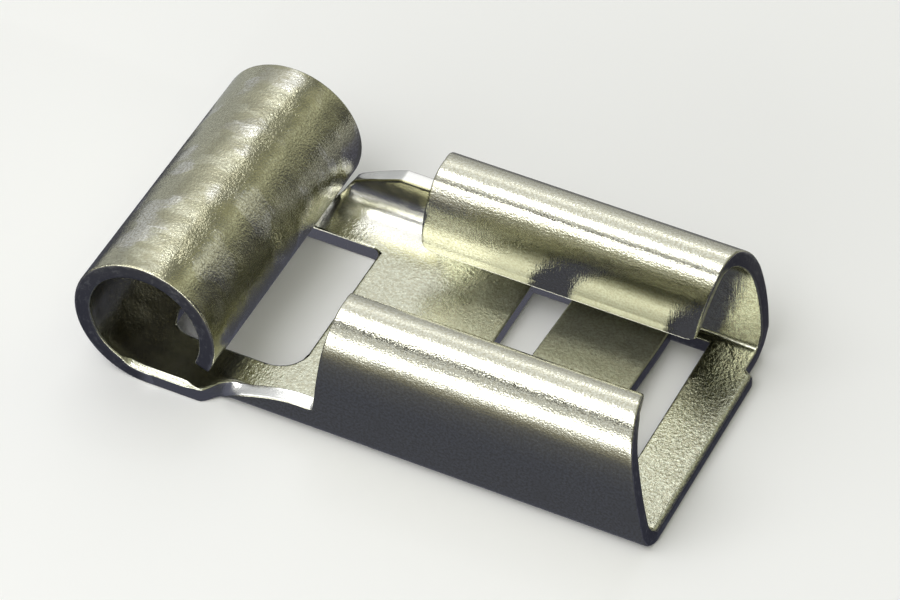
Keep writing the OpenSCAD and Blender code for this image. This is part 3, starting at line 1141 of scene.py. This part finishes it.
        # Pale paint: wear patches on the barrel, partly a painted highlight, and a painted
        # highlight over the whole far leg.
        wear_and_highlight = g.product(barrel, finish.grain.outputs["WearAndHighlight"])
        sheet = g.mix(g.math("MAXIMUM", wear_and_highlight, far_leg), sheet, self.wear_and_painted_highlight)
        drift = g.math("MULTIPLY_ADD", self.band_noise.spread(g, blank), self.band_drift,
                       g.math("ADD", along, -self.band_drift / 2))
        band = g.product(g.ramp(drift, *z.band_rear_u), g.ramp(drift, *z.band_front_u),
                         self.band_share)
        ridge = g.product(g.ramp(along, *z.ridge_rear_u), g.ramp(along, *z.ridge_front_u),
                          self.patches.spread(g, blank))
        sheet = g.mix(g.math("MAXIMUM", band, ridge), sheet, self.tarnish_and_painted_shade)
        # Painted shade inside the barrel, all but a strip at its near mouth.
        sheet = g.mix(g.product(inner, barrel, g.ramp(finish.side, *z.bore_s)), sheet, self.painted_bore_shade)
        # Painted shade on the inside of the far leg's flange, near its top.
        flange_shade = g.product(inner, far_leg, g.ramp(finish.side, *z.leg_top_s))
        sheet = g.mix(flange_shade, sheet, self.tarnish_and_painted_shade)
        pits = g.ramp(finish.grain.outputs["Pits"], *self.pits)
        flecks = g.product(self.flecks.spread(g, blank),
                           g.math("MULTIPLY_ADD", far_leg, -self.leg_fleck, 1.0))
        dull = g.math("MAXIMUM", self.stains.spread(g, blank), pits)
        dull = g.math("MAXIMUM", dull, flecks)
        finish.set(Base_Color=g.mix(dull, sheet, self.stained))

    def _polish(self, finish: Finish, barrel: object, inner: object) -> None:
        """Sets how bright the metal is: less inside, and least in the pocket.

        Args:
            finish: the material under way.
            barrel: mask of the barrel.
            inner: mask of the inner face.
        """
        g, z = finish.g, ZONES
        pocket = g.product(g.ramp(finish.along, *z.pocket_rear_u),
                           g.ramp(finish.along, *z.pocket_front_u))
        matt = g.product(inner, g.math("MULTIPLY_ADD", pocket, self.pocket_matt,
                                       self.inside_matt))
        matt = g.math("MULTIPLY_ADD", barrel, self.barrel_matt, matt)
        finish.set(Roughness=g.math("ADD", matt, self.polish.spread(g, finish.blank)),
                   Metallic=g.math("MULTIPLY_ADD", g.product(inner, pocket), -self.pocket_dull,
                                   1.0))


@dataclass(frozen=True)
class CutFace:
    """The cut edge: smooth where the punch sheared it, fractured at both ends, where its dark
    colour is partly painted shade.

    Attributes:
        sheared: smooth part.
        torn_and_shade: colour of the fractured part, dark partly as painted shade.
        scuffed: places on the fractured part that are scuffed lighter.
        scuffs: where those places are.
        wander: how far the bounds of the fractured part wander through the sheet.
        wander_noise: the noise that moves them.
        slant: slope of the near leg's cut, which leans back a little.
        roughness: of the smooth part and of the torn part.
        slow_h: slow unevenness, in micrometres.
        coarse_h: coarse grain on the smooth part.
        torn_coarse_h: coarse grain added on the fractured part.
    """

    sheared: tuple = (0.92, 0.92, 0.89, 1.0)
    torn_and_shade: tuple = (0.24, 0.24, 0.25, 1.0)
    scuffed: tuple = (0.5, 0.5, 0.47, 1.0)
    scuffs: Speckle = Speckle(Noise((5.0, 5.0, 9.0), 3.0, 0.7), (0.5, 0.75))
    wander: float = 0.16
    wander_noise: Noise = Noise((3.0, 3.0, 0.5), 3.0)
    slant: float = 0.66
    roughness: tuple = (0.22, 0.3)
    slow_h: float = 4.0
    coarse_h: float = 2.0
    torn_coarse_h: float = 6.0

    def build(self, grain: bpy.types.NodeTree) -> bpy.types.Material:
        """Makes the material.

        Args:
            grain: the group of the grain.

        Returns:
            The material.
        """
        finish = Finish("cut_edge", grain)
        g, z, blank, along, depth = finish.g, ZONES, finish.blank, finish.along, finish.depth
        ends = g.math("MAXIMUM", g.ramp(along, *z.barrel_u), g.ramp(along, *z.front_edge_u))
        drift = self.wander_noise.spread(g, blank)
        torn_and_shade = g.product(ends, g.ramp(g.math("MULTIPLY_ADD", drift, self.wander, depth),
                                      *z.torn_depth))
        near_edge = g.product(g.ramp(along, *z.near_edge_rear_u),
                              g.ramp(finish.side, *z.near_edge_s),
                              g.ramp(along, *z.near_edge_front_u))
        finish.raise_grain(Slow=self.slow_h, Draw=0.0,
                           Coarse=g.math("MULTIPLY_ADD", torn_and_shade, self.torn_coarse_h,
                                         self.coarse_h))
        finish.bump(g.math("ADD", finish.grain.outputs["Height"],
                           g.product(near_edge, depth, 1000 * self.slant)))
        # The fractured part is painted dark, partly as painted shade on the cut faces at the front
        # and round the barrel.
        rim = g.mix(self.scuffs.spread(g, blank), self.torn_and_shade, self.scuffed)
        finish.set(Base_Color=g.mix(torn_and_shade, self.sheared, rim), Metallic=1.0,
                   Roughness=g.ramp(torn_and_shade, 0.0, 1.0, *self.roughness))
        return finish.material


@dataclass(frozen=True)
class Camera:
    """The camera: it looks down on the near side from in front."""

    azimuth: float = 24.05
    elevation: float = 44.35
    roll: float = 1.85
    distance: float = 119.52
    target: tuple = (0.46, -0.07, 1.5)
    lens: float = 200.5
    sensor_w: float = 36.0
    shift_x: float = 0.0052
    shift_y: float = 0.0168

    def build(self) -> None:
        """Adds the camera and makes it the scene's."""
        a, e = math.radians(self.azimuth), math.radians(self.elevation)
        ahead = Vector((-math.sin(a) * math.cos(e), math.cos(a) * math.cos(e), -math.sin(e)))
        data = bpy.data.cameras.new("camera")
        data.lens, data.sensor_width = self.lens, self.sensor_w
        data.shift_x, data.shift_y = self.shift_x, self.shift_y
        data.clip_start, data.clip_end = 0.001, 10.0
        camera = bpy.data.objects.new("camera", data)
        turn = ahead.to_track_quat("-Z", "Y").to_matrix().to_4x4()
        place = Vector(self.target) - self.distance * ahead
        camera.matrix_world = (Matrix.Translation(place * MM) @ turn
                               @ Matrix.Rotation(math.radians(self.roll), 4, "Z"))
        bpy.context.scene.collection.objects.link(camera)
        bpy.context.scene.camera = camera


@dataclass(frozen=True)
class Lamp:
    """A soft lamp that looks at the terminal."""

    name: str
    place: tuple
    size: tuple
    radiance: float

    def build(self) -> None:
        """Adds the lamp; its power is its radiance times its area times pi."""
        data = bpy.data.lights.new(self.name, "AREA")
        data.shape = "RECTANGLE"
        data.size, data.size_y = self.size[0] * MM, self.size[1] * MM
        data.energy = self.radiance * math.pi * data.size * data.size_y
        lamp = bpy.data.objects.new(self.name, data)
        place = Vector(self.place)
        lamp.matrix_world = (Matrix.Translation(place * MM)
                             @ place.to_track_quat("Z", "Y").to_matrix().to_4x4())
        bpy.context.scene.collection.objects.link(lamp)


def flat_piece(name: str, corners: list) -> tuple:
    """Adds a flat piece with a material of its own.

    Args:
        name: its name and its material's.
        corners: four corners in millimetres.

    Returns:
        The piece and its material.
    """
    mesh = bpy.data.meshes.new(name)
    mesh.from_pydata([tuple(part * MM for part in corner) for corner in corners], [],
                     [(0, 1, 2, 3)])
    piece = bpy.data.objects.new(name, mesh)
    material = bpy.data.materials.new(name)
    material.use_nodes = True
    mesh.materials.append(material)
    bpy.context.scene.collection.objects.link(piece)
    return piece, material


def fill_ramp(ramp: bpy.types.ShaderNode, stops: list) -> None:
    """Sets the stops of a colour ramp.

    Args:
        ramp: the ramp's node.
        stops: pairs of a position from 0 to 1 and a colour, in rising order.
    """
    elements = ramp.color_ramp.elements
    while len(elements) < len(stops):
        elements.new(0.5)
    for element, (position, colour) in zip(elements, stops):
        element.position = position
        element.color = (*colour, 1)


@dataclass(frozen=True)
class Floor:
    """A plain pale floor under the terminal."""

    name: str = "floor"
    half: float = 900.0
    colour: tuple = (0.93, 0.93, 0.93, 1.0)
    roughness: float = 0.9

    def build(self) -> None:
        """Adds the floor as part of the stage."""
        h = self.half
        floor, material = flat_piece(self.name, [(-h, -h, 0), (h, -h, 0), (h, h, 0), (-h, h, 0)])
        shader = material.node_tree.nodes["Principled BSDF"]
        shader.inputs["Base Color"].default_value = self.colour
        shader.inputs["Roughness"].default_value = self.roughness


@dataclass(frozen=True)
class Card:
    """A card near the terminal that the polished metal mirrors.

    Its stops give its tone at places along Y, in rising order.
    """

    name: str
    low: tuple
    high: tuple
    stops: tuple

    def build(self) -> None:
        """Adds the card as part of the stage, seen only in reflections."""
        (x0, y0, z0), (x1, y1, z1) = self.low, self.high
        card, material = flat_piece(self.name, [(x0, y0, z0), (x1, y0, z0), (x1, y1, z1),
                                                (x0, y1, z1)])
        material.node_tree.nodes.clear()
        g = Graph(material.node_tree)
        first, last = self.stops[0][0], self.stops[-1][0]
        y = g.split(g.add("TexCoord", "Object"))[1]
        where = g.add("MapRange", Value=y, From_Min=first * MM, From_Max=last * MM)
        tone = g.add("ValToRGB", i0=where)
        fill_ramp(tone.node, [((at - first) / (last - first), colour)
                              for at, colour in self.stops])
        out = material.node_tree.nodes.new("ShaderNodeOutputMaterial")
        g.feed(out.inputs["Surface"], g.add("Emission", Color=tone))
        card.visible_camera = False
        card.visible_diffuse = False
        card.visible_shadow = False


@dataclass(frozen=True)
class Room:
    """Light of the room by direction: a ramp over X times a ramp over Z."""

    name: str = "room"
    across: tuple = ((-1.0, (0.5, 0.5, 0.52)), (-0.74, (0.7, 0.71, 0.72)),
                     (-0.58, (0.82, 0.83, 0.82)), (-0.3, (1.0, 1.0, 1.0)),
                     (-0.04, (0.66, 0.67, 0.64)), (0.16, (0.26, 0.27, 0.25)),
                     (0.37, (0.58, 0.58, 0.45)), (0.53, (0.5, 0.5, 0.38)),
                     (0.66, (0.3, 0.3, 0.23)), (0.75, (0.18, 0.18, 0.18)),
                     (0.86, (0.07, 0.07, 0.08)), (1.0, (0.05, 0.05, 0.07)))
    upward: tuple = ((-1.0, 0.26), (0.0, 0.39), (0.22, 0.48), (0.41, 0.57), (0.57, 0.71),
                     (0.7, 0.87), (0.83, 0.92), (0.97, 0.9))
    strength: float = 1.32

    def build(self) -> None:
        """Makes the world."""
        world = bpy.data.worlds.new(self.name)
        world.use_nodes = True
        g = Graph(world.node_tree)
        parts = g.split(g.add("TexCoord", "Generated"))
        tones = []
        for part, stops in ((parts[0], self.across),
                            (parts[2], [(at, (v, v, v)) for at, v in self.upward])):
            tone = g.add("ValToRGB", i0=g.math("MULTIPLY_ADD", part, 0.5, 0.5))
            tone.node.color_ramp.interpolation = "EASE"
            fill_ramp(tone.node, [(at * 0.5 + 0.5, colour) for at, colour in stops])
            tones.append(tone)
        light = g.add("Mix", 2, data_type="RGBA", blend_type="MULTIPLY", i0=1.0, i6=tones[0],
                      i7=tones[1])
        back = world.node_tree.nodes["Background"]
        g.feed(back.inputs["Color"], light)
        back.inputs["Strength"].default_value = self.strength
        bpy.context.scene.world = world


# A long low lamp and a broad one stand in front, a weak one behind, and the last
# lights the barrel's ridge.
LAMPS = (
    Lamp("low_front", (-44.0, -146.0, 38.0), (260.0, 54.0), 2.7),
    Lamp("high_front", (-45.0, -76.0, 136.0), (150.0, 70.0), 2.6),
    Lamp("back_top", (-43.0, 56.0, 131.0), (30.0, 36.0), 0.45),
    Lamp("ridge_top", (-16.0, 76.0, 126.0), (22.0, 20.0), 3.6),
)
# Three lie on the floor, in front, behind and to the left, and the bar hangs before
# the near curl.
CARDS = (
    Card("front_card", (-60.0, -60.0, 0.004), (60.0, 6.0, 0.004),
         ((-60.0, (0.75, 0.74, 0.7)), (-30.0, (0.55, 0.53, 0.47)), (-15.0, (0.3, 0.285, 0.235)),
          (-9.5, (0.16, 0.16, 0.17)), (-6.0, (0.09, 0.095, 0.13)), (6.0, (0.08, 0.08, 0.1)))),
    Card("back_card", (-9.0, 6.0, 0.004), (60.0, 60.0, 0.004),
         ((6.0, (0.08, 0.08, 0.1)), (20.0, (0.4, 0.4, 0.38)), (60.0, (0.6, 0.6, 0.6)))),
    Card("left_card", (-60.0, 6.0, 0.004), (-9.0, 60.0, 0.004),
         ((6.0, (0.42, 0.43, 0.42)), (60.0, (0.55, 0.56, 0.55)))),
    Card("bar", (-30.0, -7.5, 7.2), (25.0, -7.5, 8.75),
         ((-20.0, (0.15, 0.15, 0.15)), (0.0, (0.15, 0.15, 0.15)))),
)


def main() -> None:
    """Builds the terminal and its stage."""
    logging.basicConfig(level=logging.INFO, format="%(message)s")
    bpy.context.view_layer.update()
    bpy.context.scene.view_settings.view_transform = "Standard"
    terminal = Terminal()
    piece = terminal.build()
    grain = Grain().build()
    curl_end = terminal.fold.flat_half + terminal.fold.free_s
    piece.data.materials.append(Plating(curl_end).build(grain))
    piece.data.materials.append(CutFace().build(grain))
    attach(piece, "root")
    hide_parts("terminal")
    log.info("%s: %d faces", piece.name, len(piece.data.polygons))
    for item in (Floor(), Room(), *LAMPS, *CARDS):
        item.build()
        log.info("stage: %s", item.name)
    Camera().build()


if __name__ == "__main__":
    main()
